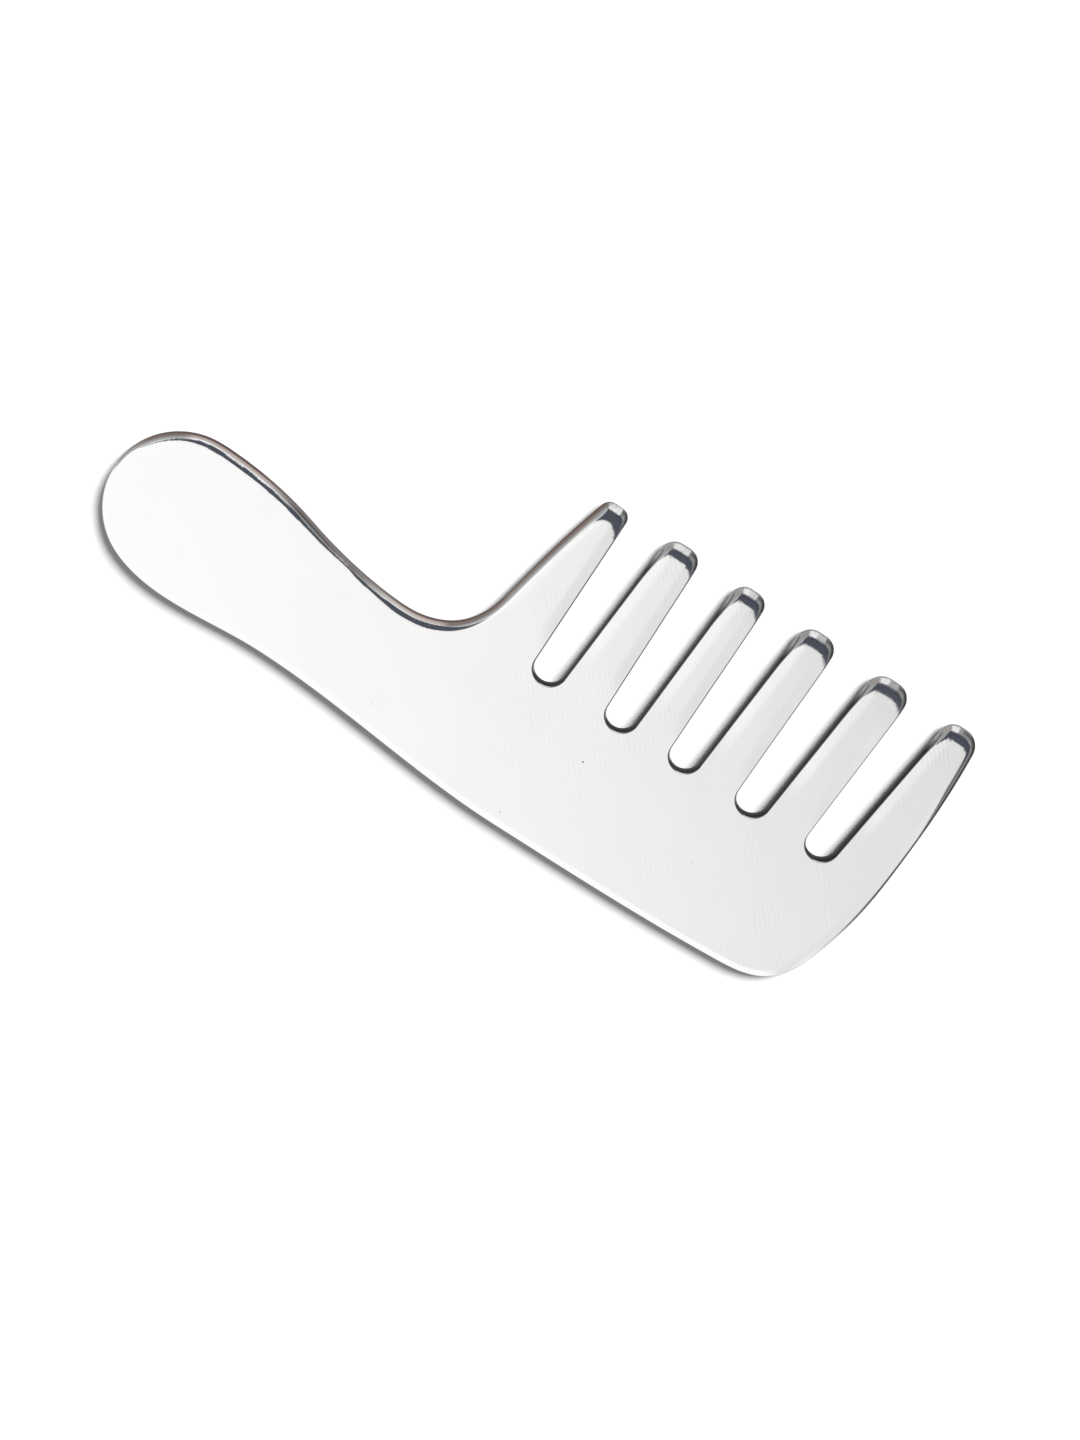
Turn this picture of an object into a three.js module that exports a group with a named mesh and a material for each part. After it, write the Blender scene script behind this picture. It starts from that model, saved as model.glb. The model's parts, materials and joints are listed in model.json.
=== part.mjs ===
// Wide-tooth steel comb: one flat plate with a paddle handle, six teeth and a rounded edge all round.
// Millimetres. +X runs from the handle to the toothed end, +Y towards the tooth tips, +Z through the
// thickness. The plate lies on its back face at Z = 0, with the origin under the middle of its box.
import * as THREE from 'three';

// ---------------------------------------------------------------- driving dimensions
const LENGTH = 180;
const WIDTH = 71.2;
const THICKNESS = 4;

const EDGE_ROUND = THICKNESS / 2;   // how far in the outer edge and the tips start to round over
const SLOT_ROUND = 0.6;             // the same for the walls of the slots, which are left much squarer
const ROUND_BLEND = 6.5;            // length of wall below a tip where one becomes the other

const HANDLE_RADIUS = 16.2;
const HANDLE_ARC = [90, 247.5];     // degrees of the handle's round end

const TIP_Y = WIDTH / 2;
const BLEND_Y = TIP_Y - ROUND_BLEND;
const TIP_DROPS = [0.9, 0.25, 0.25, 0, 0, 0.3];     // how much shorter each tooth is than the longest
const TIP_ROUNDNESS = 0.4;          // corner radius of a tip, as a share of the tip's width
const LAST_TIP_ROUNDNESS = 0.52;    // the same for the outer corner of the last tooth

const SLOT_ROOT_Y = -0.85;          // height of the centre of a slot's round root
const SLOT_TAPER = 1.65;            // degrees that each wall opens towards the tips
const SLOTS = [                     // root centre, radius and lean of each slot, from the handle on
  { x: 6.25, radius: 3.4, lean: 1.1 },
  { x: 23.95, radius: 3.4, lean: 0 },
  { x: 39.65, radius: 3.35, lean: 0.8 },
  { x: 56.5, radius: 3.55, lean: 1.6 },
  { x: 73.85, radius: 3.5, lean: 3.2 },
];

// Smooth joints of the free-hand edges: a place, and the heading of the edge there in degrees.
const BACK_EDGE = [
  { x: -46, y: -31.2, heading: 0 },
  { x: 15, y: -WIDTH / 2, heading: 0 },
  { x: 72, y: -34.4, heading: 4 },
  { x: 79.7, y: -32.5, heading: 27 },
  { x: 88.1, y: -16.8, heading: 77 },
  { x: LENGTH / 2, y: 11, heading: 90 },
  { x: 88.8, y: 31.2, heading: 97 },
];
const GRIP_EDGE = [
  { x: -4.5, y: 30.1, heading: 254.5 },
  { x: -9.85, y: 6, heading: 259 },
  { x: -16.5, y: -4.25, heading: 210 },
  { x: -26, y: -6.5, heading: 178 },
  { x: -50.6, y: -2.2, heading: 163 },
];

const CURVE_STEP = 12;              // most degrees between two outline points
const LENGTH_STEP = 4;              // most millimetres between two outline points
const SHORTEST_PIECE = 1e-6;        // pieces of the outline under this length are only joints
const EDGE_STEPS = 6;               // facets round the edge, from one face to the other

// ---------------------------------------------------------------- outline
const radians = THREE.MathUtils.degToRad;
const vector = (x, y) => new THREE.Vector2(x, y);
const direction = (heading) => vector(Math.cos(radians(heading)), Math.sin(radians(heading)));

// Carries the path on to a joint with the curve closest to a circular arc between the two headings.
function curveTo(path, fromHeading, joint) {
  const start = path.currentPoint.clone();
  const end = vector(joint.x, joint.y);
  const leave = direction(fromHeading);
  const arrive = direction(joint.heading);
  const reach = (start.distanceTo(end) * 2) / 3 / (1 + Math.cos(leave.angleTo(arrive) / 2));
  const first = start.clone().addScaledVector(leave, reach);
  const second = end.clone().addScaledVector(arrive, -reach);
  path.bezierCurveTo(first.x, first.y, second.x, second.y, end.x, end.y);
}

function followEdge(path, fromHeading, joints) {
  let heading = fromHeading;
  for (const joint of joints) {
    curveTo(path, heading, joint);
    heading = joint.heading;
  }
  return heading;
}

// Runs straight towards a corner and turns left towards the next point, with a round of the given radius.
function roundCorner(path, corner, next, radius) {
  const before = corner.clone().sub(path.currentPoint).normalize();
  const after = next.clone().sub(corner).normalize();
  const turn = before.angleTo(after);
  const start = corner.clone().addScaledVector(before, -radius * Math.tan(turn / 2));
  const centre = start.clone().add(vector(-before.y, before.x).multiplyScalar(radius));
  const startAngle = before.angle() - Math.PI / 2;
  path.absarc(centre.x, centre.y, radius, startAngle, startAngle + turn, false);
}

// Place of a slot's wall at height y; side is +1 for the wall away from the handle, -1 for the other.
function slotWall(slot, side, y) {
  const lean = radians(slot.lean + side * SLOT_TAPER);
  return vector(slot.x + (side * slot.radius) / Math.cos(lean) + (y - SLOT_ROOT_Y) * Math.tan(lean), y);
}

// Place at height y on the straight line through a point with that heading.
function extend(point, heading, y) {
  return point.clone().addScaledVector(direction(heading), (y - point.y) / Math.sin(radians(heading)));
}

// Goes down a slot's far wall, round its root and up its near wall, to where the tips begin.
function cutSlot(path, slot) {
  const [near, far] = [-1, 1].map((side) => slotWall(slot, side, BLEND_Y));
  path.lineTo(far.x, far.y);
  const farNormal = -radians(slot.lean + SLOT_TAPER);
  const nearNormal = -Math.PI - radians(slot.lean - SLOT_TAPER);
  path.absarc(slot.x, SLOT_ROOT_Y, slot.radius, farNormal, nearNormal, true);
  path.lineTo(near.x, near.y);
}

// Rounds the end of a tooth, whose corners are given in the order they are passed.
function roundTip(path, farCorner, nearCorner, next, farRoundness = TIP_ROUNDNESS) {
  const width = farCorner.distanceTo(nearCorner);
  roundCorner(path, farCorner, nearCorner, farRoundness * width);
  roundCorner(path, nearCorner, next, TIP_ROUNDNESS * width);
}

function combOutline() {
  const path = new THREE.Path();
  const [arcStart, arcEnd] = HANDLE_ARC;
  const handleX = -LENGTH / 2 + HANDLE_RADIUS;
  const handleY = -15.05;
  path.absarc(handleX, handleY, HANDLE_RADIUS, radians(arcStart), radians(arcEnd), false);
  const outerHeading = followEdge(path, arcEnd + 90, BACK_EDGE);

  const tips = TIP_DROPS.map((drop) => TIP_Y - drop);
  let farCorner = extend(path.currentPoint, outerHeading, tips[SLOTS.length]);
  let farRoundness = LAST_TIP_ROUNDNESS;
  for (let tooth = SLOTS.length; tooth > 0; tooth -= 1) {
    const slot = SLOTS[tooth - 1];
    const nearCorner = slotWall(slot, 1, tips[tooth]);
    roundTip(path, farCorner, nearCorner, slotWall(slot, 1, SLOT_ROOT_Y), farRoundness);
    cutSlot(path, slot);
    farCorner = slotWall(slot, -1, tips[tooth - 1]);
    farRoundness = TIP_ROUNDNESS;
  }

  const [slope, ...grip] = GRIP_EDGE;
  const slopeStart = vector(slope.x, slope.y);
  roundTip(path, farCorner, extend(slopeStart, slope.heading, tips[0]), slopeStart);
  path.lineTo(slope.x, slope.y);
  const gripHeading = followEdge(path, slope.heading, grip);
  curveTo(path, gripHeading, { x: handleX, y: handleY + HANDLE_RADIUS, heading: 180 });
  return path;
}

// How many steps a piece of the outline needs: one where it is straight and evenly rounded.
function stepsAlong(curve) {
  if (curve.isLineCurve && edgeRound(curve.v1) === edgeRound(curve.v2)) {
    return 1;
  }
  const turn = THREE.MathUtils.radToDeg(curve.getTangent(0).angleTo(curve.getTangent(1)));
  return Math.ceil(Math.max(turn / CURVE_STEP, curve.getLength() / LENGTH_STEP));
}

// Points round the outline, each with its inward direction and how far in its edge starts to round.
function edgePoints(path) {
  const points = [];
  for (const curve of path.curves.filter((piece) => piece.getLength() > SHORTEST_PIECE)) {
    const steps = stepsAlong(curve);
    for (let step = 0; step < steps; step += 1) {
      const at = curve.getPoint(step / steps);
      const tangent = curve.getTangent(step / steps);
      points.push({ at, inward: vector(-tangent.y, tangent.x), round: edgeRound(at) });
    }
  }
  return points;
}

// The teeth are rounded like the outer edge at their tips, and much less along the slots.
function edgeRound(at) {
  const inSlot = SLOTS.some((slot) => {
    const [near, far] = [-1, 1].map((side) => slotWall(slot, side, at.y).x);
    const slack = TIP_ROUNDNESS * (far - near);
    const floor = SLOT_ROOT_Y - slot.radius - SLOT_ROUND;
    return at.y > floor && at.x > near - slack && at.x < far + slack;
  });
  if (!inSlot) {
    return EDGE_ROUND;
  }
  const rise = THREE.MathUtils.smoothstep(at.y, BLEND_Y, TIP_Y - SLOT_ROUND);
  return THREE.MathUtils.lerp(SLOT_ROUND, EDGE_ROUND, rise);
}

// ---------------------------------------------------------------- solid
// Stacks rings of the outline from the back face to the front face, each drawn in by the rounding,
// and closes them with the two flat faces.
function roundedPlate(points) {
  const count = points.length;
  const positions = [];
  for (let ring = 0; ring <= EDGE_STEPS; ring += 1) {
    const slope = Math.PI * (ring / EDGE_STEPS - 0.5);
    for (const { at, inward, round } of points) {
      const place = at.clone().addScaledVector(inward, round * (1 - Math.cos(slope)));
      positions.push(place.x, place.y, (THICKNESS / 2) * (1 + Math.sin(slope)));
    }
  }

  const triangles = [];
  for (let ring = 0; ring < EDGE_STEPS; ring += 1) {
    for (let step = 0; step < count; step += 1) {
      const here = ring * count + step;
      const next = ring * count + ((step + 1) % count);
      triangles.push(here, next, next + count, here, next + count, here + count);
    }
  }
  const face = points.map((_, step) => vector(positions[3 * step], positions[3 * step + 1]));
  const front = EDGE_STEPS * count;
  for (const [a, b, c] of THREE.ShapeUtils.triangulateShape(face, [])) {
    triangles.push(front + a, front + b, front + c, a, c, b);
  }

  const geometry = new THREE.BufferGeometry();
  geometry.setAttribute('position', new THREE.Float32BufferAttribute(positions, 3));
  geometry.setIndex(triangles);
  geometry.computeVertexNormals();
  return geometry;
}

// ---------------------------------------------------------------- assembly
const polishedSteel = new THREE.MeshStandardMaterial({ color: 0xc8cacc, roughness: 0.15, metalness: 1 });
const combPlate = new THREE.Mesh(roundedPlate(edgePoints(combOutline())), polishedSteel);
combPlate.name = 'comb_plate';

const comb = new THREE.Group();
comb.add(combPlate);

export default comb;
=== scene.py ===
import json
import math

import bpy
import numpy as np
from mathutils import Matrix, Vector
from mathutils.geometry import delaunay_2d_cdt


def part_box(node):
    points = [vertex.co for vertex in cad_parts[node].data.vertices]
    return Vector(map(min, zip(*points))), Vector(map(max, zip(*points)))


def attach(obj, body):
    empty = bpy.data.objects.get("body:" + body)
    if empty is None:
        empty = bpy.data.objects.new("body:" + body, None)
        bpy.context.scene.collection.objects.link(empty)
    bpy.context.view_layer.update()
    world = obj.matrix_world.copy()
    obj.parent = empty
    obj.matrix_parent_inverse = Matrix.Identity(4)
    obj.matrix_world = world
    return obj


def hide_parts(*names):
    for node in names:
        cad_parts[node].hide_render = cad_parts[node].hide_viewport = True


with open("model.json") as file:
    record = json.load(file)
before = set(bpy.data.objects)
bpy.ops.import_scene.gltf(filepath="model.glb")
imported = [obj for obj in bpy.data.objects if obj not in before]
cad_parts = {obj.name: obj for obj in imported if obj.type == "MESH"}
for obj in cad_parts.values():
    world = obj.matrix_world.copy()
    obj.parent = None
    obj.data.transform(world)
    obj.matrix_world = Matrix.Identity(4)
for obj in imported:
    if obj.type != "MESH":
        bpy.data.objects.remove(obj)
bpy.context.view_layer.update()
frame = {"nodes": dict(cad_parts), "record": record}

MM = 0.001
NODE = "comb_plate"
PLATE_LOW, PLATE_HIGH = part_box(NODE)
THICKNESS = PLATE_HIGH.z - PLATE_LOW.z
MID_Z = (PLATE_HIGH.z + PLATE_LOW.z) / 2
TIP_Y = PLATE_HIGH.y

# ---------------------------------------------------------------- driving values
OUTLINE_STEP = 0.7 * MM             # longest step round the smooth outline
OUTLINE_TURN = math.radians(3)      # most turn in one step
EDGE_RINGS = 22                     # steps across the edge, from one face to the other
FACE_STEP = 0.8 * MM                # spacing of the points inside a face
FACE_GAP = 0.55 * FACE_STEP         # least distance from those points to the face's boundary
BATCH = 800                         # points looked at together when all are compared with the outline

BACK_ROUND = 1.9 * MM               # how far in the edge starts to round over, along the back
END_ROUND = 0.8 * MM                # the same at the round end of the handle
SLOT_ROUND = 0.5 * MM               # in the slots, which are left nearly square
TIP_ROUND = 2.3 * MM                # round the tips of the teeth
FIRST_TIP_ROUND = 1.95 * MM         # round the first of them, which is narrower
LEFT_SHOULDER = 0.4 * MM            # what the left side of a tooth gains on its way up to the tip
SHOULDER_FROM, SHOULDER_FULL = 10 * MM, 6 * MM      # how far below the tips it begins and is complete
TIP_SIDES = (6.5 * MM, 4.8 * MM)    # how far the rounding of a tip reaches down its left and right side
TIP_FULL = 1.7 * MM                 # how far below the tips it is complete
FIRST_TIP_BLEND = 6 * MM            # past the first tooth the tips have their full width this soon
WIDTH_SOFT = 0.8 * MM               # length along the outline over which one width becomes another

HANDLE_END_X = -60 * MM             # the round end of the handle lies beyond this
TEETH_X = -12 * MM                  # and all the tips on the other side of this
SLOT_ROOT_BELOW = 4.5 * MM          # how far the slots' round roots reach below their openings
BESIDE_FIRST_SLOT, BESIDE_LAST_SLOT = 2.6 * MM, 3.5 * MM    # how far the slots lean out of their openings
# Ranges of the outward direction's share towards a side, over which an edge becomes part of that side.
GRIP_FACING = (-0.3, 0.5)           # towards +Y: the upper edge of the grip
END_FACING = (0.8, 0.97)            # towards -X: the handle's round end
GRIP_ROUND = [                      # along the grip's upper edge: place in X, and width of rounding
    (-88 * MM, 1.8 * MM),
    (-80 * MM, 2.05 * MM),
    (-70 * MM, 2.3 * MM),
    (-58 * MM, 2.1 * MM),
    (-50 * MM, 1.85 * MM),
    (-40 * MM, 1.25 * MM),
    (-30 * MM, 2.1 * MM),
    (-20 * MM, 2.5 * MM),
    (-14 * MM, 2.0 * MM),
    (-9 * MM, 1.65 * MM),
    (-5 * MM, 2.2 * MM),
]
TABLE_REFLECTION_ALONG = [                            # along the same edge: place in X, and how strongly the painted reflection of a brown table shows there
    (-90 * MM, 0.3),
    (-87 * MM, 1.0),
    (-66 * MM, 1.0),
    (-56 * MM, 0.6),
    (-32 * MM, 0.6),
    (-24 * MM, 0.9),
    (-4 * MM, 1.0),
    (-1 * MM, 0.0),
]
TABLE_REFLECTION_FACING = (0.0, 0.25)           # share towards +Y over which the edge takes on the painted brown reflection
CHATTER_FACING = (0.5, 0.8)         # the same for the grinding marks
CHATTER_ENDS = (-18 * MM, -14 * MM)     # where in X they end, in the finger notch
WALL_FACING = (-0.3, 0.3)           # share towards handle and tips over which a wall becomes unpolished and gets painted shade
WALL_WIDTHS = (0.6 * MM, 1.4 * MM)  # widths of rounding between which a wall, rough and darkened with painted shade, becomes a polished edge
WALL_BESIDE = 3 * MM                # how far beside the slots' openings their walls may lie
OTHER_WALL_SHADE = 0.2                 # how much of the roughness and painted shade the other walls get, next to one
LAST_SIDE_ROUND = [                 # up the last tooth's outer side: height in Y, and width of rounding
    (-28 * MM, 2.1 * MM),
    (-15 * MM, 1.2 * MM),
    (11 * MM, 0.9 * MM),
    (24 * MM, 1.85 * MM),
]

CROWN_WIDTH = 2.5 * MM              # the teeth fall away towards their sides over this width
CROWN_SLOPE = math.tan(math.radians(4.2))
CROWN_SOFT = 0.1 * MM
CROWN_FROM, CROWN_FULL = 1 * MM, 10 * MM    # heights in Y over which the crown comes in
CROWN_LAST_SIDE = (80 * MM, 86 * MM)        # it also runs down the outer side of the last tooth
# The teeth also slope down beyond an arch below their tips: its half width, how far below the tips it
# springs and tops out, and the slope. The first tooth, which is narrower, has a deeper one.
ARCH = (4.8 * MM, 7.0 * MM, 2.4 * MM, math.tan(math.radians(7)))
FIRST_ARCH = (3.9 * MM, 9.5 * MM, 4.0 * MM, math.tan(math.radians(10)))
ARCH_SOFT = 0.2 * MM
ARCH_COMES_IN = (1 * MM, 1.5 * MM)  # from how far below the springing to how far above it

WAVE_SEED = 11
WAVE_COUNT = 14
WAVE_LENGTHS = (9 * MM, 45 * MM)
WAVE_SLOPE = 0.0035                 # slope of each of the waves left by hand polishing


# ---------------------------------------------------------------- outline of the plate
def smoothstep(value, low, high):
    share = np.clip((value - low) / (high - low), 0, 1)
    return share * share * (3 - 2 * share)


def lengths(vectors):
    return np.linalg.norm(vectors, axis=-1, keepdims=True)


def plan_ring():
    """The CAD plate's outline at mid height, as points in order, anticlockwise from above."""
    mesh = frame["nodes"][NODE].data
    weld = 1e-6
    corners = np.array([v.co for v in mesh.vertices])
    whole, number = np.unique(np.round(corners / weld).astype(int), axis=0, return_inverse=True)
    places = whole * weld
    number = number.ravel()
    links = {}
    for edge in mesh.edges:
        a, b = (int(number[v]) for v in edge.vertices)
        if a != b and max(abs(places[[a, b], 2] - MID_Z)) < 5 * weld:
            links.setdefault(a, set()).add(b)
            links.setdefault(b, set()).add(a)
    ring = [min(links)]
    step = min(links[ring[0]])
    while step != ring[0]:
        ring.append(step)
        step = next(iter(links[step] - {ring[-2]}))
    ring = places[ring][:, :2]
    ahead = np.roll(ring, -1, axis=0)
    if np.sum(ring[:, 0] * ahead[:, 1] - ring[:, 1] * ahead[:, 0]) < 0:
        ring = ring[::-1]
    return ring


def tangents(ring):
    """Unit tangents: of the circle through a point and its neighbours, or of a straight run it ends."""
    straight_ratio = 2
    behind = ring - np.roll(ring, 1, axis=0)
    ahead = np.roll(ring, -1, axis=0) - ring
    size_behind, size_ahead = lengths(behind), lengths(ahead)
    along_behind, along_ahead = behind / size_behind, ahead / size_ahead
    tangent = along_behind * size_ahead + along_ahead * size_behind
    tangent = np.where(size_behind > straight_ratio * size_ahead, along_behind, tangent)
    tangent = np.where(size_ahead > straight_ratio * size_behind, along_ahead, tangent)
    return tangent / lengths(tangent)


def smooth_outline(ring):
    """Points close together on the smooth curve through the ring, and their inward directions."""
    heading = tangents(ring)
    places, headings = [], []
    for here in range(len(ring)):
        ahead = (here + 1) % len(ring)
        chord = ring[ahead] - ring[here]
        size = np.linalg.norm(chord)
        cosine = np.clip(heading[here] @ heading[ahead], -1, 1)
        steps = max(1, math.ceil(size / OUTLINE_STEP), math.ceil(math.acos(cosine) / OUTLINE_TURN))
        t = (np.arange(steps) / steps)[:, None]
        leave, arrive = heading[here] * size, heading[ahead] * size
        places.append(
            ring[here] * (2 * t**3 - 3 * t**2 + 1) + leave * (t**3 - 2 * t**2 + t)
            + ring[ahead] * (3 * t**2 - 2 * t**3) + arrive * (t**3 - t**2)
        )
        headings.append(
            (ring[ahead] - ring[here]) * (6 * t - 6 * t**2)
            + leave * (3 * t**2 - 4 * t + 1) + arrive * (3 * t**2 - 2 * t)
        )
    places = np.concatenate(places)
    headings = np.concatenate(headings)
    headings /= lengths(headings)
    return places, np.stack([-headings[:, 1], headings[:, 0]], axis=1)


def slot_boxes():
    return [o["box_m"] for o in frame["record"]["physics"]["openings"] if o["name"].startswith("slot")]


def edge_round(places, inward):
    """How far in from the outline the edge starts to round over, at each point."""
    x, y = places.T
    facing_up = -inward[:, 1]
    facing_left = inward[:, 0]

    boxes = slot_boxes()
    first, last = boxes[0][0][0], boxes[-1][1][0]
    root_y = min(low[1] for low, _ in boxes) - SLOT_ROOT_BELOW
    grip = np.interp(x, *zip(*GRIP_ROUND))
    outer = BACK_ROUND + (grip - BACK_ROUND) * smoothstep(facing_up, *GRIP_FACING) * (x < first)
    outer = outer + (END_ROUND - outer) * smoothstep(facing_left, *END_FACING) * (x < HANDLE_END_X)
    outer = np.where(x > last, np.interp(y, *zip(*LAST_SIDE_ROUND)), outer)
    in_slots = (x > first - BESIDE_FIRST_SLOT) & (x < last + BESIDE_LAST_SLOT) & (y > root_y)
    shoulder = smoothstep(y, TIP_Y - SHOULDER_FROM, TIP_Y - SHOULDER_FULL) * (facing_left > 0)
    base = np.where(in_slots, SLOT_ROUND + LEFT_SHOULDER * shoulder, outer)

    later = smoothstep(x, first, first + FIRST_TIP_BLEND)
    tip = FIRST_TIP_ROUND + (TIP_ROUND - FIRST_TIP_ROUND) * later
    width = base + (tip - base) * tip_share(places, inward)
    return soften(width, places)


def tip_share(places, inward):
    """How much of each point's edge belongs to the tip of a tooth."""
    x, y = places.T
    length = np.where(inward[:, 0] > 0, *TIP_SIDES)
    return smoothstep(y, TIP_Y - length, TIP_Y - TIP_FULL) * (x > TEETH_X)


def soften(values, places):
    """Evens out jumps in a value round the outline, with a moving Gaussian average."""
    sample = 0.1 * MM
    steps = lengths(np.roll(places, -1, axis=0) - places).ravel()
    at = np.concatenate([[0], np.cumsum(steps)])
    count = int(at[-1] / sample)
    even = np.linspace(0, at[-1], count, endpoint=False)
    signal = np.interp(even, at, np.append(values, values[0]))
    frequency = np.fft.rfftfreq(count, at[-1] / count)
    keep = np.exp(-2 * (math.pi * frequency * WIDTH_SOFT) ** 2)
    smooth = np.fft.irfft(np.fft.rfft(signal) * keep, count)
    return np.interp(at[:-1], np.append(even, at[-1]), np.append(smooth, smooth[0]))


# ---------------------------------------------------------------- height of the faces
def polishing_waves(places):
    """The slow unevenness that hand polishing leaves in a flat face."""
    draw = np.random.default_rng(WAVE_SEED)
    height = np.zeros(len(places))
    for _ in range(WAVE_COUNT):
        length = np.exp(draw.uniform(*np.log(WAVE_LENGTHS)))
        turn, phase = draw.uniform(0, 2 * math.pi, 2)
        across = places @ np.array([math.cos(turn), math.sin(turn)])
        rate = 2 * math.pi / length
        height += WAVE_SLOPE / math.sqrt(WAVE_COUNT) / rate * np.sin(across * rate + phase)
    return height


def fall(places, from_edge):
    """How far the face lies below the full thickness, given each point's distance from the outline."""
    x, y = places.T
    where = np.maximum(smoothstep(y, CROWN_FROM, CROWN_FULL), smoothstep(x, *CROWN_LAST_SIDE))
    crown = CROWN_SLOPE * soft_rise(CROWN_WIDTH - from_edge, CROWN_SOFT) * where
    first = x < slot_boxes()[0][0][0] + 1 * MM
    end = np.where(first, arch_fall(y, from_edge, *FIRST_ARCH), arch_fall(y, from_edge, *ARCH))
    return crown + end - polishing_waves(places)


def soft_rise(value, soft):
    """Nothing below zero and the value itself above it, with a smooth bend that long between them."""
    return soft * np.logaddexp(0, np.clip(value / soft, -60, 60))


def arch_fall(y, from_edge, half_width, spring, top, slope):
    """How far the end of a tooth has sloped down beyond the arch below its tip."""
    across = np.maximum(half_width - from_edge, 0) / half_width
    rise = np.maximum(y - (TIP_Y - spring), 0) / (spring - top)
    fallen = slope * soft_rise((np.hypot(across, rise) - 1) * (spring - top), ARCH_SOFT)
    below, above = ARCH_COMES_IN
    return fallen * smoothstep(y, TIP_Y - spring - below, TIP_Y - spring + above)


def from_outline(places, outline):
    """Distance of each point from the closed outline."""
    ahead = np.roll(outline, -1, axis=0) - outline
    squared = np.sum(ahead**2, axis=1)
    found = []
    for some in np.array_split(places, max(1, len(places) // BATCH)):
        offset = some[:, None, :] - outline[None]
        share = np.clip(np.einsum("ijk,jk->ij", offset, ahead) / squared, 0, 1)
        apart = offset - share[..., None] * ahead[None]
        found.append(np.sqrt(np.min(np.einsum("ijk,ijk->ij", apart, apart), axis=1)))
    return np.concatenate(found)


def inside(places, outline):
    """Which of the points lie inside the closed outline."""
    x0, y0 = outline.T
    x1, y1 = np.roll(outline, -1, axis=0).T
    found = []
    for some in np.array_split(places, max(1, len(places) // BATCH)):
        x, y = some[:, :1], some[:, 1:]
        crosses = (y0 > y) != (y1 > y)
        with np.errstate(divide="ignore", invalid="ignore"):
            where = x0 + (y - y0) / (y1 - y0) * (x1 - x0)
        found.append(np.sum(crosses & (x < where), axis=1) % 2 == 1)
    return np.concatenate(found)


# ---------------------------------------------------------------- the plate's surface
def face_points(boundary):
    """A staggered grid of points inside the flat face, clear of its boundary."""
    low, high = boundary.min(axis=0), boundary.max(axis=0)
    rows = np.arange(low[1], high[1], FACE_STEP * math.sqrt(0.75))
    columns = np.arange(low[0], high[0], FACE_STEP)
    x, y = np.meshgrid(columns, rows)
    x = x + (np.arange(len(rows)) % 2)[:, None] * FACE_STEP / 2
    grid = np.stack([x.ravel(), y.ravel()], axis=1)
    grid = grid[inside(grid, boundary)]
    return grid[from_outline(grid, boundary) > FACE_GAP]


def face_triangles(boundary, points):
    """Triangles over boundary and points, as numbers into the two lists joined."""
    everything = [Vector(p / MM) for p in np.concatenate([boundary, points])]
    loop = list(range(len(boundary)))
    inside_only, same_point = 1, 1e-7
    _, _, faces, original, _, _ = delaunay_2d_cdt(everything, [], [loop], inside_only, same_point)
    return [[original[v][0] for v in face] for face in faces]


def face_normals(places, outline):
    """Upward unit normals of the front face, from its height on either side of each point."""
    reach = 0.05 * MM
    slopes = []
    for axis in (0, 1):
        heights = []
        for side in (-1, 1):
            moved = places.copy()
            moved[:, axis] += side * reach
            heights.append(-fall(moved, from_outline(moved, outline)))
        slopes.append((heights[1] - heights[0]) / (2 * reach))
    normal = np.stack([-slopes[0], -slopes[1], np.ones(len(places))], axis=1)
    return normal / lengths(normal)


def wall_shade_share(outline, inward, width):
    """How much of each point's edge is the square wall of a slot, left unpolished and darkened nearly to
    black as painted shade.
    """
    boxes = slot_boxes()
    x = outline[:, 0]
    between = (x > boxes[0][0][0] - WALL_BESIDE) & (x < boxes[-1][1][0] + WALL_BESIDE)
    towards_handle = smoothstep(inward[:, 0] - inward[:, 1], *WALL_FACING)
    rough = OTHER_WALL_SHADE + (1 - OTHER_WALL_SHADE) * towards_handle
    return (1 - smoothstep(width, *WALL_WIDTHS)) * between * rough


def grip_share(outline, inward):
    """How much of each point's edge has grinding marks: the grip's upper edge, to the finger notch."""
    return smoothstep(-inward[:, 1], *CHATTER_FACING) * (1 - smoothstep(outline[:, 0], *CHATTER_ENDS))


def table_reflection_share(outline, inward):
    """How strongly the reflection of a brown table is painted on the grip's upper edge."""
    x = outline[:, 0]
    return np.interp(x, *zip(*TABLE_REFLECTION_ALONG)) * smoothstep(-inward[:, 1], *TABLE_REFLECTION_FACING) * (x < slot_boxes()[0][0][0])


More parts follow.
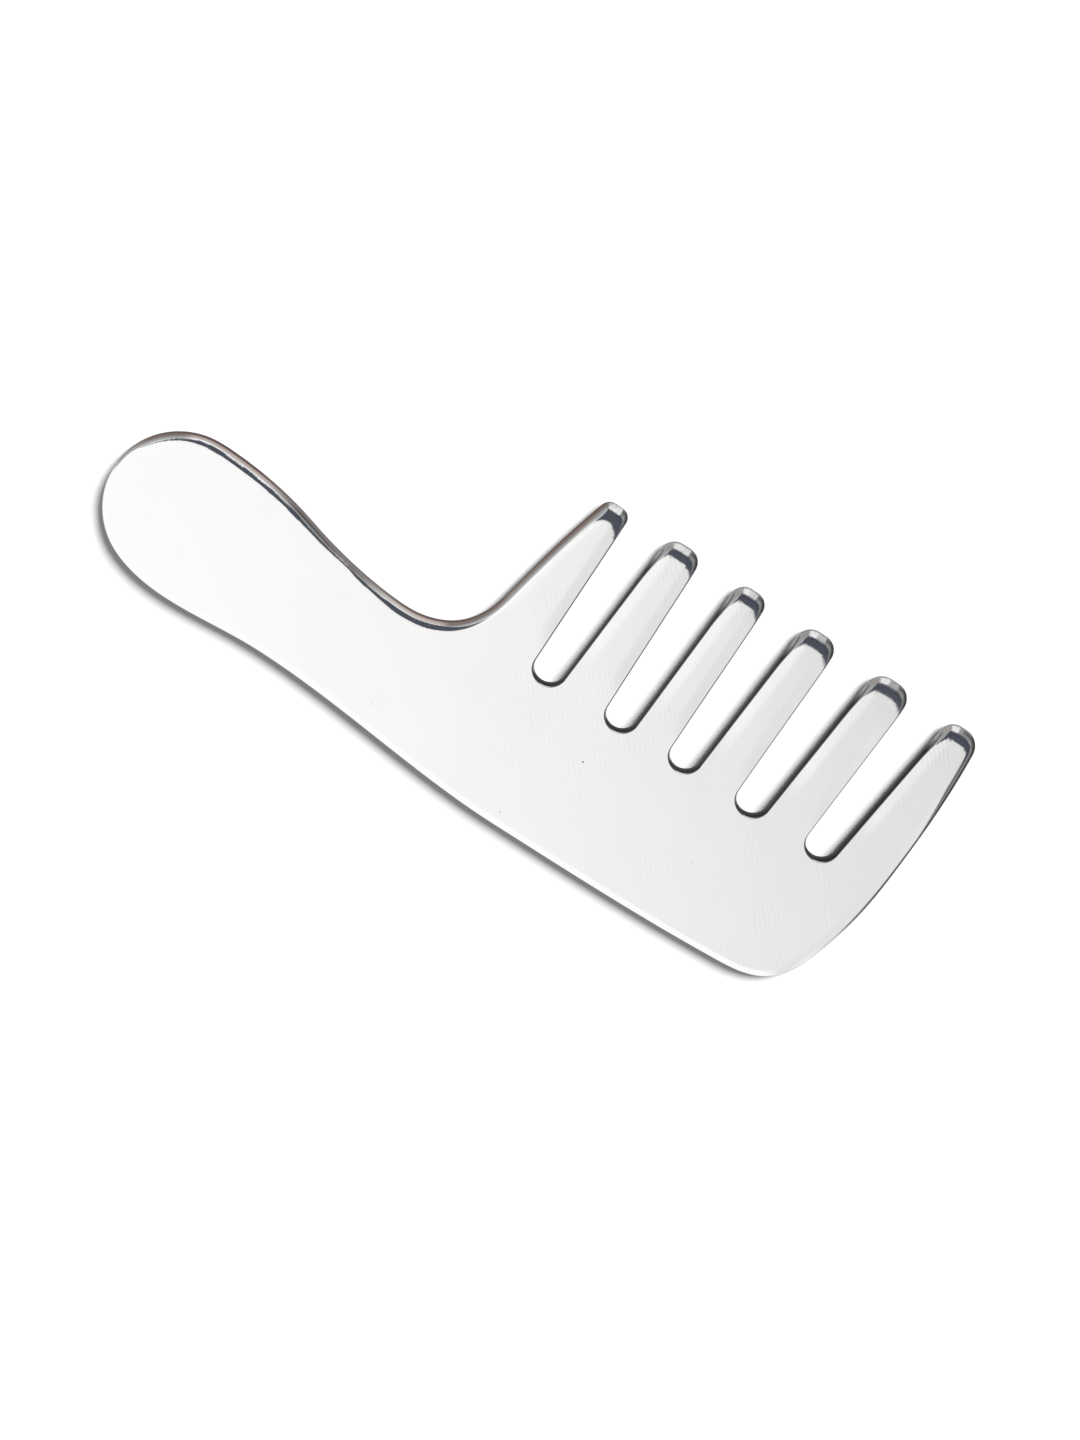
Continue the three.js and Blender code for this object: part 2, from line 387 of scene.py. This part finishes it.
def plate_surface():
    outline, inward = smooth_outline(plan_ring())
    width = edge_round(outline, inward)
    count = len(outline)

    rings, ring_edges = [], []
    for angle in np.linspace(-math.pi / 2, math.pi / 2, EDGE_RINGS + 1):
        reach = width * (1 - math.cos(angle))
        plan = outline + inward * reach[:, None]
        height = (THICKNESS / 2 - fall(plan, reach)) * math.sin(angle)
        rings.append(np.column_stack([plan, MID_Z + height]))
        ring_edges.append(np.full(count, math.cos(angle)))
    rings = np.array(rings)

    round_way = np.roll(rings, -1, axis=1) - np.roll(rings, 1, axis=1)
    up_way = np.gradient(rings, axis=0)
    ring_normals = np.cross(round_way, up_way)
    ring_normals /= lengths(ring_normals)
    boundary = rings[-1][:, :2]
    rim_normals = face_normals(boundary, outline)
    flip = np.array([1, 1, -1])
    ring_normals[-1] = rim_normals
    ring_normals[0] = rim_normals * flip

    points = face_points(boundary)
    height = THICKNESS / 2 - fall(points, from_outline(points, outline))
    front = np.column_stack([points, MID_Z + height])
    back = np.column_stack([points, MID_Z - height])
    point_normals = face_normals(points, outline)

    here, ahead = np.arange(count), (np.arange(count) + 1) % count
    faces = []
    for ring in range(EDGE_RINGS):
        low, high = ring * count, (ring + 1) * count
        faces += np.column_stack([low + here, low + ahead, high + ahead, high + here]).tolist()
    first_front = (EDGE_RINGS + 1) * count
    first_back = first_front + len(points)
    for triangle in face_triangles(boundary, points):
        on_front = [EDGE_RINGS * count + v if v < count else first_front + v - count for v in triangle]
        on_back = [v if v < count else first_back + v - count for v in triangle]
        a, b, c = (rings[-1][v] if v < count else front[v - count] for v in triangle)
        if np.cross(b - a, c - a)[2] < 0:
            on_front.reverse()
        else:
            on_back.reverse()
        faces += [on_front, on_back]

    places = np.concatenate([rings.reshape(-1, 3), front, back])
    normals = np.concatenate([ring_normals.reshape(-1, 3), point_normals, point_normals * flip])
    steps = lengths(np.roll(outline, -1, axis=0) - outline).ravel()
    run = np.cumsum(steps) - steps
    flat = np.zeros(2 * len(points))
    # edge runs from nothing on the faces to one at the rim, run is the length along the outline, and the
    # others say how much of the edge is of that kind.
    facts = {
        "edge": np.concatenate([np.concatenate(ring_edges), flat]),
        "run": np.concatenate([np.tile(run, EDGE_RINGS + 1), flat]),
        # how far the slot walls are left rough and painted dark as shade
        "wall": np.concatenate([np.tile(wall_shade_share(outline, inward, width), EDGE_RINGS + 1), flat]),
        "tip": np.concatenate([np.tile(tip_share(outline, inward), EDGE_RINGS + 1), flat]),
        # how strongly the reflection of a brown table is painted on the grip's upper edge
        "burn": np.concatenate([np.tile(table_reflection_share(outline, inward), EDGE_RINGS + 1), flat]),
        "grip": np.concatenate([np.tile(grip_share(outline, inward), EDGE_RINGS + 1), flat]),
    }
    return places, normals, faces, facts


def make_plate():
    places, normals, faces, facts = plate_surface()
    mesh = bpy.data.meshes.new("comb_plate_polished")
    mesh.from_pydata(places.tolist(), [], faces)
    for name, values in facts.items():
        attribute = mesh.attributes.new(name, "FLOAT", "POINT")
        attribute.data.foreach_set("value", values.astype(np.float32))
    mesh.shade_smooth()
    mesh.normals_split_custom_set_from_vertices(normals.tolist())
    mesh.validate()
    plate = bpy.data.objects.new("comb_plate_polished", mesh)
    bpy.context.scene.collection.objects.link(plate)
    mesh.materials.append(polished_steel())
    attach(plate, "root")
    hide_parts(NODE)
    return plate


# ---------------------------------------------------------------- node helpers
def add(tree, kind, inputs=(), **settings):
    """Adds a node. inputs maps a socket's name or number to a value, or to another node's output."""
    made = tree.nodes.new(kind)
    for name, value in settings.items():
        setattr(made, name, value)
    for place, value in dict(inputs).items():
        if isinstance(value, bpy.types.NodeSocket):
            tree.links.new(value, made.inputs[place])
        else:
            made.inputs[place].default_value = value
    return made


def calc(tree, operation, *values):
    return add(tree, "ShaderNodeMath", enumerate(values), operation=operation).outputs[0]


def ease(tree, value, low, high, start=0.0, end=1.0):
    """start below low, end above high, and a smooth change between."""
    inputs = {"Value": value, "From Min": low, "From Max": high, "To Min": start, "To Max": end}
    return add(tree, "ShaderNodeMapRange", inputs, interpolation_type="SMOOTHSTEP").outputs["Result"]


def ramp(tree, value, low, high, stops):
    """A colour that follows value through the stops: rising places between low and high, with colours."""
    share = add(tree, "ShaderNodeMapRange", {"Value": value, "From Min": low, "From Max": high})
    made = add(tree, "ShaderNodeValToRGB", {"Fac": share.outputs["Result"]})
    places = [(place - low) / (high - low) for place, _ in stops]
    elements = made.color_ramp.elements
    elements[0].position, elements[1].position = places[0], places[-1]
    for place in places[1:-1]:
        elements.new(place)
    for element, (_, colour) in zip(elements, stops):
        element.color = (*colour, 1)
    return made.outputs["Color"]


def mix(tree, share, first, second, blend="MIX"):
    inputs = {"Factor": share, 6: first, 7: second}
    return add(tree, "ShaderNodeMix", inputs, data_type="RGBA", blend_type=blend).outputs[2]


# ---------------------------------------------------------------- steel
PALE_STEEL = [                      # slow change of tint over a face
    (0.35, (0.664, 0.658, 0.65)),
    (0.65, (0.656, 0.657, 0.657)),
]
TABLE_REFLECTION_TINT = [                     # painted reflection of a brown table: from inside the edge to its rim, what multiplies the tint
    (0.61, (1, 1, 1)),
    (0.67, (0.55, 0.5, 0.48)),
    (0.83, (0.52, 0.43, 0.4)),
    (0.91, (0.36, 0.25, 0.21)),
    (0.97, (0.29, 0.18, 0.145)),
]
STREAKED_STEEL = [                  # what multiplies it over the ground tips
    (0.36, (0.68, 0.68, 0.69)),
    (0.64, (1, 1, 1)),
]
# painted shade: the slot walls darkened nearly to black, standing in for the contact shadow in the slots
WALL_SHADE_TINT = (0.03, 0.028, 0.03, 1)
SCRATCHED_STEEL = (0.3, 0.3, 0.3, 1)
PITTED_STEEL = (0.05, 0.048, 0.045, 1)
ROUGHNESS = (0.06, 0.12)            # polished steel between its smudges, and on them
ROUGHER = {"wall": 0.3, "tip": 0.05, "scratch": 0.1, "pit": 0.3}    # what each adds to that
# Heights in millimetres.
CHATTER_HEIGHT, STREAK_HEIGHT, BUFFING_HEIGHT, SCRATCH_HEIGHT = 0.045, 0.003, 0.003, -0.0006
PITS = [                            # small pits in the face: place, and radius
    (22.6 * MM, -13.6 * MM, 0.26 * MM),
    (14.3 * MM, -32.1 * MM, 0.17 * MM),
    (53.5 * MM, -19.2 * MM, 0.12 * MM),
    (-20.2 * MM, -27.3 * MM, 0.13 * MM),
]
SCRATCH_WAYS = [(24, 0.13 * MM), (71, 0.16 * MM), (138, 0.11 * MM)]     # degrees from +X, and spacing
SCRATCH_LENGTH = 7 * MM
STREAK_STEP = 0.16 * MM             # spacing of the streaks that cross a tip's edge
CHATTER_STEP, CHATTER_PATCH = 0.42 * MM, 7 * MM     # spacing of the grinding marks, and of their patches


def fact(tree, name):
    return add(tree, "ShaderNodeAttribute", attribute_name=name).outputs["Fac"]


def noise(tree, vector, scale, detail=2.0):
    inputs = {"Vector": vector, "Scale": scale, "Detail": detail}
    return add(tree, "ShaderNodeTexNoise", inputs).outputs["Fac"]


def product(tree, first, *others):
    for other in others:
        first = calc(tree, "MULTIPLY", first, other)
    return first


def along_edge(tree, run, edge, step, across):
    """Texture place that runs along the edge once a step, and across it so many times."""
    parts = {0: calc(tree, "MULTIPLY", run, 1 / step), 1: calc(tree, "MULTIPLY", edge, across)}
    return add(tree, "ShaderNodeCombineXYZ", parts).outputs[0]


def scratches(tree, place, azimuth, spacing):
    """Thin parallel scratches, each a few millimetres long, at that azimuth."""
    turned = add(tree, "ShaderNodeMapping", {"Vector": place, "Rotation": (0, 0, -math.radians(azimuth))})
    scale = (1 / SCRATCH_LENGTH, 1 / spacing, 0)
    stretch = add(tree, "ShaderNodeMapping", {"Vector": turned.outputs[0], "Scale": scale})
    return ease(tree, noise(tree, stretch.outputs[0], 1.0, 1.0), 0.66, 0.74)


def pitted(tree, place):
    """One inside the pits, fading to nothing round them."""
    found = None
    for x, y, radius in PITS:
        apart = add(tree, "ShaderNodeVectorMath", {0: place, 1: (x, y, PLATE_HIGH.z)}, operation="DISTANCE")
        pit = ease(tree, apart.outputs["Value"], 0.5 * radius, radius, 1.0, 0.0)
        found = pit if found is None else calc(tree, "MAXIMUM", found, pit)
    return found


def buffing(tree, place):
    """Height of the faint curved ripples that a buffing wheel leaves, in patches."""
    bent = {"Vector": place, "Scale": 480.0, "Distortion": 7.0, "Detail": 1.0, "Detail Scale": 0.35}
    wave = add(tree, "ShaderNodeTexWave", bent, bands_direction="DIAGONAL").outputs["Fac"]
    patches = ease(tree, noise(tree, place, 110.0, 1.0), 0.5, 0.62)
    return product(tree, wave, patches)


def polished_steel():
    material = bpy.data.materials.new("polished_steel")
    material.use_nodes = True
    tree = material.node_tree
    tree.nodes.clear()
    place = add(tree, "ShaderNodeTexCoord").outputs["Object"]
    names = ("wall", "edge", "run", "tip", "burn", "grip")
    wall, edge, run, tip, burn, grip = (fact(tree, name) for name in names)

    colour = ramp(tree, noise(tree, place, 45.0, 3.0), 0.35, 0.65, PALE_STEEL)
    # painted reflection of a brown table along the grip's upper edge, darkest at the rim
    colour = mix(tree, burn, colour, ramp(tree, edge, 0, 1, TABLE_REFLECTION_TINT), "MULTIPLY")
    # the slot walls: rougher, and darkened nearly to black as painted shade
    wall_rough_and_shade = product(tree, wall, ease(tree, edge, 0.25, 0.6))
    colour = mix(tree, wall_rough_and_shade, colour, WALL_SHADE_TINT)

    streak = noise(tree, along_edge(tree, run, edge, STREAK_STEP, 1.6), 1.0, 3.0)
    on_tip = product(tree, tip, ease(tree, edge, 0.04, 0.2))
    colour = mix(tree, on_tip, colour, ramp(tree, streak, 0.35, 0.65, STREAKED_STEEL), "MULTIPLY")

    lines = None
    for azimuth, spacing in SCRATCH_WAYS:
        drawn = scratches(tree, place, azimuth, spacing)
        lines = drawn if lines is None else calc(tree, "MAXIMUM", lines, drawn)
    worn = product(tree, lines, ease(tree, noise(tree, place, 60.0), 0.42, 0.6))
    colour = mix(tree, product(tree, worn, 0.035), colour, SCRATCHED_STEEL)
    pits = pitted(tree, place)
    colour = mix(tree, product(tree, pits, 0.8), colour, PITTED_STEEL)

    roughness = ease(tree, noise(tree, place, 120.0, 4.0), 0.3, 0.7, *ROUGHNESS)
    for name, share in {"wall": wall_rough_and_shade, "tip": on_tip, "scratch": worn, "pit": pits}.items():
        roughness = calc(tree, "ADD", roughness, product(tree, share, ROUGHER[name]))

    chatter = noise(tree, along_edge(tree, run, edge, CHATTER_STEP, 2.5), 1.0, 3.0)
    patchy = ease(tree, noise(tree, along_edge(tree, run, edge, CHATTER_PATCH, 0.0), 1.0), 0.42, 0.56)
    band = product(tree, ease(tree, edge, 0.08, 0.2), ease(tree, edge, 0.42, 0.55, 1.0, 0.0))
    height = product(tree, chatter, grip, patchy, band, CHATTER_HEIGHT)
    for part, size in (
        (product(tree, streak, on_tip), STREAK_HEIGHT),
        (buffing(tree, place), BUFFING_HEIGHT),
        (worn, SCRATCH_HEIGHT),
    ):
        height = calc(tree, "ADD", height, product(tree, part, size))
    bump = add(tree, "ShaderNodeBump", {"Height": height})
    bump.inputs["Strength"].default_value = 1.0
    bump.inputs["Distance"].default_value = MM

    inputs = {"Base Color": colour, "Roughness": roughness, "Normal": bump.outputs[0]}
    shader = add(tree, "ShaderNodeBsdfPrincipled", inputs)
    shader.inputs["Metallic"].default_value = 1.0
    output = add(tree, "ShaderNodeOutputMaterial")
    tree.links.new(shader.outputs["BSDF"], output.inputs["Surface"])
    return material


# ---------------------------------------------------------------- studio
def greys(stops):
    return [(place, (value, value, value)) for place, value in stops]


SKY = 1.5                           # strength of the surroundings, whose shares of it follow
# Brightness from high above, by the part of the direction that points between +X and +Y.
OVERHEAD = greys([
    (-0.4, 1.0), (-0.21, 0.99), (-0.14, 0.94), (-0.07, 0.875),
    (0.0, 0.78), (0.06, 0.75), (0.14, 0.81), (0.26, 0.9),
])
OVERHEAD_AZIMUTH = 48
# The lower part of the +Y side, by elevation in degrees: its window, what surrounds that towards +X,
# and the ends of the room towards -X and +X.
WINDOW = greys([(-60, 0.35), (-30, 0.42), (-12, 0.6), (-4, 0.92), (60, 1.0)])
ROOM = [
    (-60, (0.3, 0.285, 0.28)),
    (-42, (0.36, 0.345, 0.34)),
    (-15, (0.28, 0.265, 0.26)),
    (-5, (0.15, 0.145, 0.145)),
    (10, (0.11, 0.11, 0.11)),
    (20, (0.17, 0.17, 0.17)),
    (27, (0.3, 0.3, 0.3)),
    (35, (0.26, 0.26, 0.26)),
    (41, (0.12, 0.12, 0.13)),
    (56, (0.11, 0.12, 0.14)),
]
WEST_END = [
    (-60, (0.38, 0.365, 0.35)),
    (0, (0.4, 0.385, 0.37)),
    (30, (0.34, 0.335, 0.335)),
    (40, (0.46, 0.47, 0.49)),
    (52, (1, 1, 1)),
]
EAST_END = greys([(-60, 0.04), (-30, 0.04), (0, 0.08), (20, 0.3), (40, 0.5), (60, 0.75)])
FLOOR_GREY = (0.3, 0.3, 0.31, 1)
# Borders between them: cosines of the azimuth from +X, and elevations in degrees.
WINDOW_BORDER, WEST_BORDER, EAST_BORDER = (0.12, 0.3), (-0.62, -0.42), (0.42, 0.75)
LOW_SIDE_AZIMUTH, LOW_SIDE_BORDER, LOW_SIDE_TOP = 85, (-0.42, -0.2), (52, 60)
FLOOR_BORDER = (-46, -32)


def studio_light():
    """What the steel reflects: white above, and a darker room with one window on the +Y side."""
    world = bpy.data.worlds.new("studio")
    world.use_nodes = True
    bpy.context.scene.world = world
    tree = world.node_tree
    tree.nodes.clear()
    parts = add(tree, "ShaderNodeSeparateXYZ", {0: add(tree, "ShaderNodeTexCoord").outputs["Generated"]})
    x, y, z = parts.outputs
    elevation = calc(tree, "DEGREES", calc(tree, "ARCSINE", z))
    overhead = ramp(tree, towards(tree, x, y, OVERHEAD_AZIMUTH), -0.4, 0.4, OVERHEAD)

    level = calc(tree, "SQRT", calc(tree, "SUBTRACT", 1.0, product(tree, z, z)))
    level = calc(tree, "MAXIMUM", level, 1e-4)
    eastward = calc(tree, "DIVIDE", x, level)
    window, room, west_end, east_end = (
        ramp(tree, elevation, -60, 60, stops) for stops in (WINDOW, ROOM, WEST_END, EAST_END)
    )
    low = mix(tree, ease(tree, eastward, *WINDOW_BORDER, 1.0, 0.0), room, window)
    low = mix(tree, ease(tree, eastward, *WEST_BORDER, 1.0, 0.0), low, west_end)
    low = mix(tree, ease(tree, eastward, *EAST_BORDER), low, east_end)

    facing = calc(tree, "DIVIDE", towards(tree, x, y, LOW_SIDE_AZIMUTH), level)
    side = ease(tree, facing, *LOW_SIDE_BORDER)
    side = product(tree, side, ease(tree, elevation, *LOW_SIDE_TOP, 1.0, 0.0))
    colour = mix(tree, side, overhead, low)
    colour = mix(tree, ease(tree, elevation, *FLOOR_BORDER, 1.0, 0.0), colour, FLOOR_GREY)
    background = add(tree, "ShaderNodeBackground", {"Color": colour, "Strength": SKY})
    output = add(tree, "ShaderNodeOutputWorld")
    tree.links.new(background.outputs[0], output.inputs["Surface"])


def towards(tree, x, y, azimuth):
    """The part of a direction that points to that azimuth, in degrees from +X."""
    turn = math.radians(azimuth)
    return calc(tree, "ADD", product(tree, x, math.cos(turn)), product(tree, y, math.sin(turn)))


KEY_ENERGY = 22
KEY_ANGLE = math.radians(30)
KEY_HEADING = Vector((-0.27, -0.95, -1))


def add_sun():
    """The one lamp, which throws the soft-edged shadow towards -X-Y and is not seen in the steel."""
    lamp = bpy.data.lights.new("key", "SUN")
    lamp.energy = KEY_ENERGY
    lamp.angle = KEY_ANGLE
    key = bpy.data.objects.new("key", lamp)
    bpy.context.scene.collection.objects.link(key)
    key.rotation_mode = "QUATERNION"
    key.rotation_quaternion = KEY_HEADING.to_track_quat("-Z", "Y")
    key.visible_glossy = False


def seen_by(piece, *kinds):
    """Lets only those kinds of rays meet a piece of the studio."""
    for kind in ("camera", "diffuse", "glossy", "transmission", "volume_scatter", "shadow"):
        setattr(piece, "visible_" + kind, kind in kinds)


FLAG_HEIGHT = 0.534                 # level with the camera
FLAG_LOW, FLAG_HIGH = (-0.52, -0.3), (1.2, 0.68)
FLAG_NEAR, FLAG_LEFT, FLAG_FAR = (-0.03, 0.04), (-0.5, -0.36), (0.6, 0.66)     # its soft borders
FLAG_SKEW = 0.14                    # how far the near border turns towards -Y for each metre in X
FLAG_COLOUR = (0.105, 0.117, 0.145, 1)


def add_flag():
    """A dark blue-grey screen over the +Y side, with soft borders, seen only in the steel."""
    material = bpy.data.materials.new("flag_dark")
    material.use_nodes = True
    tree = material.node_tree
    tree.nodes.clear()
    parts = add(tree, "ShaderNodeSeparateXYZ", {0: add(tree, "ShaderNodeTexCoord").outputs["Object"]})
    x, y, _ = parts.outputs
    slanted = calc(tree, "ADD", y, product(tree, x, FLAG_SKEW))
    cover = product(tree, ease(tree, slanted, *FLAG_NEAR), ease(tree, x, *FLAG_LEFT))
    cover = product(tree, cover, ease(tree, y, *FLAG_FAR, 1.0, 0.0))
    dark = add(tree, "ShaderNodeEmission", {"Color": FLAG_COLOUR, "Strength": 1.0})
    clear = add(tree, "ShaderNodeBsdfTransparent")
    both = add(tree, "ShaderNodeMixShader", {0: cover, 1: clear.outputs[0], 2: dark.outputs[0]})
    output = add(tree, "ShaderNodeOutputMaterial")
    tree.links.new(both.outputs[0], output.inputs["Surface"])

    (x0, y0), (x1, y1) = FLAG_LOW, FLAG_HIGH
    corners = [(x, y, FLAG_HEIGHT) for x, y in ((x0, y0), (x1, y0), (x1, y1), (x0, y1))]
    stage_piece("flag", corners, [(0, 1, 2, 3)], material, "glossy")


def stage_material(name, kind, colour, strength=None):
    material = bpy.data.materials.new(name)
    material.use_nodes = True
    tree = material.node_tree
    tree.nodes.clear()
    shader = add(tree, kind, {"Color": colour})
    if strength is not None:
        shader.inputs["Strength"].default_value = strength
    output = add(tree, "ShaderNodeOutputMaterial")
    tree.links.new(shader.outputs[0], output.inputs["Surface"])
    return material


STAGE_REACH = 3.0
STAGE_SIDES = 64
BACKDROP_RINGS = 16
BACKDROP_FROM = -8                  # elevation of its lowest ring, in degrees
TABLE_GAP = 0.05 * MM               # keeps the waves of the back face clear of the table
TABLE_GREY = (0.2, 0.2, 0.2, 1)


def stage_circle(rise):
    """Points round the Z axis at that elevation, on a sphere round the origin."""
    turns = [2 * math.pi * step / STAGE_SIDES for step in range(STAGE_SIDES)]
    across, up = STAGE_REACH * math.cos(rise), STAGE_REACH * math.sin(rise)
    return [(across * math.cos(t), across * math.sin(t), up) for t in turns]


def stage_piece(name, places, faces, material, *kinds):
    mesh = bpy.data.meshes.new(name)
    mesh.from_pydata(places, [], faces)
    mesh.materials.append(material)
    piece = bpy.data.objects.new(name, mesh)
    seen_by(piece, *kinds)
    bpy.context.scene.collection.objects.link(piece)
    return piece


def add_table():
    """A plain pale table top under the comb, and a plain white backdrop that only the camera sees."""
    round_way = list(range(STAGE_SIDES))
    white = stage_material("table_white", "ShaderNodeBsdfDiffuse", TABLE_GREY)
    table = stage_piece("table", stage_circle(0), [round_way], white, "camera", "diffuse", "shadow")
    table.location.z = PLATE_LOW.z - TABLE_GAP

    places, faces = [], []
    for ring in range(BACKDROP_RINGS):
        places += stage_circle(math.radians(BACKDROP_FROM + (90 - BACKDROP_FROM) * ring / BACKDROP_RINGS))
    for low in range(0, len(places) - STAGE_SIDES, STAGE_SIDES):
        for step in round_way:
            ahead = (step + 1) % STAGE_SIDES
            faces.append([low + step, low + ahead, low + STAGE_SIDES + ahead, low + STAGE_SIDES + step])
    faces.append([len(places) - STAGE_SIDES + step for step in round_way])
    white = stage_material("backdrop_white", "ShaderNodeEmission", (1, 1, 1, 1), 1.0)
    stage_piece("backdrop", places, faces, white, "camera")


# ---------------------------------------------------------------- camera
CAMERA_AT = Vector((-56.27, 118.0, 534.1)) * MM
CAMERA_AIM = Vector((10.59, -11.5, 2.0)) * MM
CAMERA_ROLL = math.radians(34.345)      # turn about the line of sight, from level with the +X axis
CAMERA_LENS = 67


def add_camera():
    data = bpy.data.cameras.new("camera")
    data.lens = CAMERA_LENS
    camera = bpy.data.objects.new("camera", data)
    bpy.context.scene.collection.objects.link(camera)
    bpy.context.scene.camera = camera
    ahead = (CAMERA_AIM - CAMERA_AT).normalized()
    level = ahead.cross(Vector((0, 1, 0))).normalized()
    right = Matrix.Rotation(-CAMERA_ROLL, 3, ahead) @ level
    up = right.cross(ahead)
    turn = Matrix((right, up, -ahead)).transposed()
    camera.matrix_world = Matrix.Translation(CAMERA_AT) @ turn.to_4x4()


# ---------------------------------------------------------------- scene
bpy.context.scene.view_settings.view_transform = "Standard"
add_camera()
studio_light()
add_sun()
add_flag()
add_table()
make_plate()
